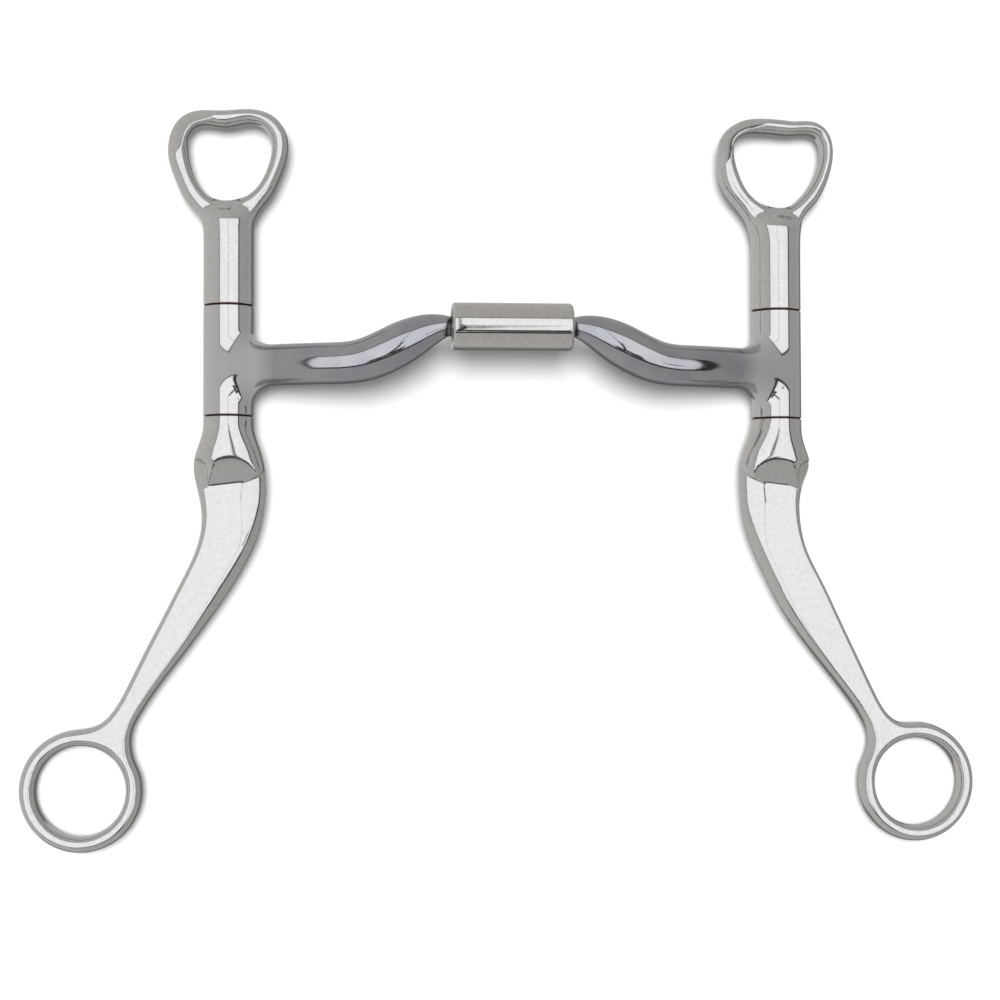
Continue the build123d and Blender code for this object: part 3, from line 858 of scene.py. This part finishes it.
def mouth_steel(name, colour, butt_colour, roughness):
    """Mouth steel: rubbed bright in broad patches, with fine brushing along the arms and a bluish
    tarnish, which gives way to the cheeks' own steel on the butts, and painted shade in its crevices."""
    metal, tree, shader, place = metal_tree(name)
    patch = noise(tree, place, 7, 4)
    grain = noise(tree, place, 0.3, 4)
    tarnish = shaded(colour, (0.84, 0.85, 0.90))
    worn = tinted(tree, remap(tree, patch, 0.35, 0.65, 0, 1), tarnish, colour)
    across = node(tree, "ShaderNodeSeparateXYZ", [("Vector", place)]).outputs["X"]
    near_butt = remap(tree, maths(tree, "ABSOLUTE", across, 0), 0.058, 0.063, 0, 1)
    coloured = tinted(tree, near_butt, worn, butt_colour)
    rough = maths(tree, "ADD", remap(tree, patch, 0.3, 0.7, roughness * 1.3, roughness * 0.8),
                  remap(tree, grain, 0.4, 0.7, 0, 0.04))
    waves = bumped(tree, noise(tree, place, 6, 1), 0.03)
    brushing = bumped(tree, noise(tree, place, 0.2, 2, (0.05, 1, 1)), 0.002, 1.0, waves)
    # Painted shade: ambient occlusion darkens the colour to six tenths in crevices.
    surfaced(tree, shader, darkened(tree, coloured, painted_crevice_shade(tree, 0.5, 0.6)), rough, brushing)
    return metal


def ground_steel(name, colour):
    """Ground steel of pins: fine rings of grinding round the Y axis and a thin film of oil."""
    metal, tree, shader, place = metal_tree(name)
    film = noise(tree, place, 4, 3)
    surfaced(tree, shader,
             tinted(tree, remap(tree, film, 0.35, 0.65, 0, 1), shaded(colour, (0.75, 0.75, 0.75)), colour),
             remap(tree, film, 0.3, 0.7, 0.2, 0.34),
             bumped(tree, noise(tree, place, 0.12, 2, (0.15, 1, 0.15)), 0.003))
    return metal


def tarnished_bronze(name, colour):
    """Bearing bronze that has browned: mottled tarnish, with turning marks."""
    metal, tree, shader, place = metal_tree(name)
    mottle = noise(tree, place, 1.2, 4)
    brown = shaded(colour, (0.35, 0.28, 0.25))
    surfaced(tree, shader,
             tinted(tree, remap(tree, mottle, 0.35, 0.65, 0, 1), brown, colour),
             remap(tree, mottle, 0.3, 0.7, 0.5, 0.3),
             bumped(tree, noise(tree, place, 0.15, 2, (1, 0.2, 1)), 0.004))
    return metal


def finish_of(slot):
    """The metal of a slot, made the first time it is asked for."""
    name = f"finish_{slot}"
    if name in bpy.data.materials:
        return bpy.data.materials[name]
    finish = bpy.context.scene.curb_bit.finish
    colour = tuple(getattr(finish, slot))
    if slot in ("cheek_steel", "barrel_steel"):
        return polished_steel(name, colour, finish.polish)
    if slot == "mouth_steel":
        return mouth_steel(name, colour, tuple(finish.cheek_steel), finish.satin)
    if slot == "spindle_steel":
        return ground_steel(name, colour)
    return tarnished_bronze(name, colour)


# Studio

def between(tree, value, limits, soft):
    """1 where a value lies between two limits, fading over soft on each side."""
    low, high = limits
    rise, fall = (
        node(tree, "ShaderNodeMapRange", [("Value", value), ("From Min", start), ("From Max", end)],
             interpolation_type="SMOOTHSTEP").outputs["Result"]
        for start, end in ((low - soft, low + soft), (high + soft, high - soft)))
    return product(tree, rise, fall)


def window(tree, angles, area, soft_up):
    """1 where both angles lie inside an area, fading at its edges."""
    return product(tree, between(tree, angles[0], area[0], 0.8), between(tree, angles[1], area[1], soft_up))


def blended(tree, share, first, second):
    """A value between two values by share."""
    return node(tree, "ShaderNodeMix", [(0, share), (2, first), (3, second)]).outputs[0]


def make_studio_world(studio):
    """The room that the metal mirrors, by direction: an overhead softbox with a dark frame, a
    narrow seam and a few dark things with ragged edges in front of it, in a grey room that is
    darker to the right, and almost black low down at the lower right. Its angles are degrees from
    straight up, across and up the picture. The floor gets plain fill light instead, and the camera
    sees white."""
    world = bpy.data.worlds.new("studio_room")
    bpy.context.scene.world = world
    world.use_nodes = True
    tree = world.node_tree
    tree.nodes.clear()
    direction = node(tree, "ShaderNodeTexCoord").outputs["Generated"]
    x, y, z = node(tree, "ShaderNodeSeparateXYZ", [("Vector", direction)]).outputs
    angles = [product(tree, maths(tree, "ARCTAN2", axis, z), math.degrees(1)) for axis in (x, y)]
    room = remap(tree, x, -1, 1, studio.surround * 1.16, studio.surround * 0.82)
    room = product(tree, room, remap(tree, z, -1, 1, 1.08, 0.95))
    right_of = maths(tree, "SUBTRACT", x, y)
    under = product(tree, remap(tree, z, -0.45, -0.8, 0, 0.75), remap(tree, right_of, -0.05, 0.1, 0, 1))
    room = blended(tree, under, room, UNDER_TONE)
    value = blended(tree, window(tree, angles, SOFTBOX_FRAME, 0.8), room, FRAME_TONE)
    box = window(tree, angles, SOFTBOX, 1.0)
    glow = remap(tree, z, 0.6, 1, studio.softbox * 0.92, studio.softbox)
    value = blended(tree, box, value, glow)
    seam = product(tree, between(tree, angles[0], SOFTBOX_SEAM, 0.4), box)
    value = blended(tree, seam, value, SEAM_TONE)
    ragged = node(tree, "ShaderNodeTexNoise", [("Vector", direction), ("Scale", 9.0), ("Detail", 2.0)])
    wander = remap(tree, ragged.outputs["Fac"], 0.3, 0.7, -FIGURE_RAGGEDNESS, FIGURE_RAGGEDNESS)
    torn = [maths(tree, "ADD", angle, wander) for angle in angles]
    for *area, dark in FIGURES:
        figure = window(tree, torn, area, 1.2)
        value = blended(tree, product(tree, figure, box), value, dark)
    tone = tinted(tree, box, (1.0, 0.985, 0.965), (0.985, 0.985, 1.0))
    white = (1, 1, 1, 1)
    mirrored, plain, seen = (
        node(tree, "ShaderNodeBackground", [("Color", colour), ("Strength", strength)]).outputs[0]
        for colour, strength in ((tone, value), (white, studio.fill), (white, 1.0)))
    ray = node(tree, "ShaderNodeLightPath").outputs
    lit = node(tree, "ShaderNodeMixShader", [(0, ray["Is Glossy Ray"]), (1, plain), (2, mirrored)])
    last = node(tree, "ShaderNodeMixShader", [(0, ray["Is Camera Ray"]), (1, lit.outputs[0]), (2, seen)])
    node(tree, "ShaderNodeOutputWorld", [("Surface", last.outputs[0])])


def make_floor():
    """A plain white floor disc: rings of a fine fan about the middle, which the metal doesn't mirror."""
    rings, sides = 4, 96
    turn = np.linspace(0, 2 * np.pi, sides, endpoint=False)
    radius = np.array([0.02, 0.3, 1.0, 4.0])[:, None]
    level = np.full((rings, sides), CAD_BOX[0][2] - 0.00004)
    points = np.stack([radius * np.cos(turn), radius * np.sin(turn), level], axis=-1)
    mesh = bpy.data.meshes.new("studio_floor")
    faces = grid_quads(rings, sides, True)[:, ::-1].tolist() + [list(range(sides))]
    mesh.from_pydata(points.reshape(-1, 3).tolist(), [], faces)
    floor = placed("studio_floor", mesh)
    paper = bpy.data.materials.new("studio_paper")
    paper.use_nodes = True
    tree = paper.node_tree
    shader = tree.nodes["Principled BSDF"]
    shader.inputs["Roughness"].default_value = 0.9
    shader.inputs["Specular IOR Level"].default_value = 0.0
    place = node(tree, "ShaderNodeTexCoord").outputs["Object"]
    tone = tinted(tree, noise(tree, place, 60, 2), (0.87, 0.87, 0.87), (0.89, 0.89, 0.89))
    tree.links.new(tone, shader.inputs["Base Color"])
    mesh.materials.append(paper)
    floor.visible_glossy = False


def make_lights(studio):
    """One soft, steep key light from the upper left, which the metal doesn't mirror."""
    sun = bpy.data.lights.new("key_light", "SUN")
    sun.energy = studio.key
    sun.angle = math.radians(22)
    key = placed("key_light", sun)
    key.rotation_euler = Vector(KEY_DIRECTION).to_track_quat("-Z", "Y").to_euler()
    key.visible_glossy = False


def make_camera(studio):
    """The camera, looking almost straight down from a little left of the middle."""
    lens = bpy.data.cameras.new("camera")
    lens.lens = studio.lens
    lens.sensor_width = 36
    lens.clip_start = 0.01
    lens.clip_end = 20
    camera = placed("camera", lens)
    camera.location = CAMERA_PLACE
    camera.rotation_euler = Euler(CAMERA_TURN)
    bpy.context.scene.camera = camera


# Operators

def make_pair(part, shape, body, slot):
    """Makes the left and the right one of a piece, from a shape that takes the hand."""
    for hand in HANDS:
        piece = welded_piece(f"{hand}_{part}_forged", shape(hand))
        place_piece(piece, f"{hand}_{body}", f"{hand}_{part}", slot)


class MakeBarrel(bpy.types.Operator):
    """Make the barrel's polished sleeve"""

    bl_idname = "curb_bit.make_barrel"
    bl_label = "Barrel"

    def execute(self, context):
        sleeve = welded_piece("barrel_sleeve_polished", [(barrel_sleeve_grid(), True)])
        place_piece(sleeve, "barrel", "barrel_sleeve", "barrel_steel")
        return {"FINISHED"}


class MakeMouthArms(bpy.types.Operator):
    """Make both mouth arms with their butts"""

    bl_idname = "curb_bit.make_mouth_arms"
    bl_label = "Mouth arms"

    def execute(self, context):
        make_pair("mouth_arm", mouth_arm_grids, "arm", "mouth_steel")
        return {"FINISHED"}


class MakePurchases(bpy.types.Operator):
    """Make both purchases with their headstall loops"""

    bl_idname = "curb_bit.make_purchases"
    bl_label = "Purchases"

    def execute(self, context):
        make_pair("purchase", purchase_grids, "cheek", "cheek_steel")
        return {"FINISHED"}


class MakeShanks(bpy.types.Operator):
    """Make both shanks with their rein rings"""

    bl_idname = "curb_bit.make_shanks"
    bl_label = "Shanks"

    def execute(self, context):
        make_pair("shank", shank_grids, "cheek", "cheek_steel")
        return {"FINISHED"}


class FinishFittings(bpy.types.Operator):
    """Give the bushes, collars, spindles and spacer their metals"""

    bl_idname = "curb_bit.finish_fittings"
    bl_label = "Fittings"

    def execute(self, context):
        parts = {"spindle": "spindle_steel", "retaining_collar": "spindle_steel",
                 "end_bush": "spindle_steel", "lower_bush": "bush_bronze", "upper_bush": "bush_bronze"}
        slots = {f"{hand}_{part}": slot for hand in HANDS for part, slot in parts.items()}
        slots["centre_spacer"] = "spindle_steel"
        for name, slot in slots.items():
            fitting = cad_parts[name]
            fitting.data.materials.clear()
            fitting.data.materials.append(finish_of(slot))
        return {"FINISHED"}


class SetStage(bpy.types.Operator):
    """Set up the floor, the light and the camera"""

    bl_idname = "curb_bit.set_stage"
    bl_label = "Studio"

    def execute(self, context):
        studio = context.scene.curb_bit.studio
        context.scene.view_settings.view_transform = "Standard"
        context.scene.view_settings.look = "None"
        make_studio_world(studio)
        make_floor()
        make_lights(studio)
        make_camera(studio)
        return {"FINISHED"}


class CurbBitPanel(bpy.types.Panel):
    """Settings and buttons of the curb bit"""

    bl_idname = "VIEW3D_PT_curb_bit"
    bl_label = "Curb Bit"
    bl_space_type = "VIEW_3D"
    bl_region_type = "UI"
    bl_category = "Curb Bit"

    def draw(self, context):
        settings = context.scene.curb_bit
        for group in (settings.sizes, settings.finish, settings.studio):
            box = self.layout.box()
            for name in group.__annotations__:
                box.prop(group, name)
        for step in STEPS:
            self.layout.operator(step.bl_idname)


STEPS = (MakeBarrel, MakeMouthArms, MakePurchases, MakeShanks, FinishFittings, SetStage)
CLASSES = (CurbBitSizes, CurbBitFinish, CurbBitStudio, CurbBitSettings, *STEPS, CurbBitPanel)


def register():
    for cls in CLASSES:
        bpy.utils.register_class(cls)
    bpy.types.Scene.curb_bit = bpy.props.PointerProperty(type=CurbBitSettings)


def unregister():
    del bpy.types.Scene.curb_bit
    for cls in reversed(CLASSES):
        bpy.utils.unregister_class(cls)


def main():
    """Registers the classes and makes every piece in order."""
    register()
    bpy.ops.curb_bit.make_barrel()
    bpy.ops.curb_bit.make_mouth_arms()
    bpy.ops.curb_bit.make_purchases()
    bpy.ops.curb_bit.make_shanks()
    bpy.ops.curb_bit.finish_fittings()
    bpy.ops.curb_bit.set_stage()
    bpy.context.view_layer.update()


if __name__ == "__main__":
    main()
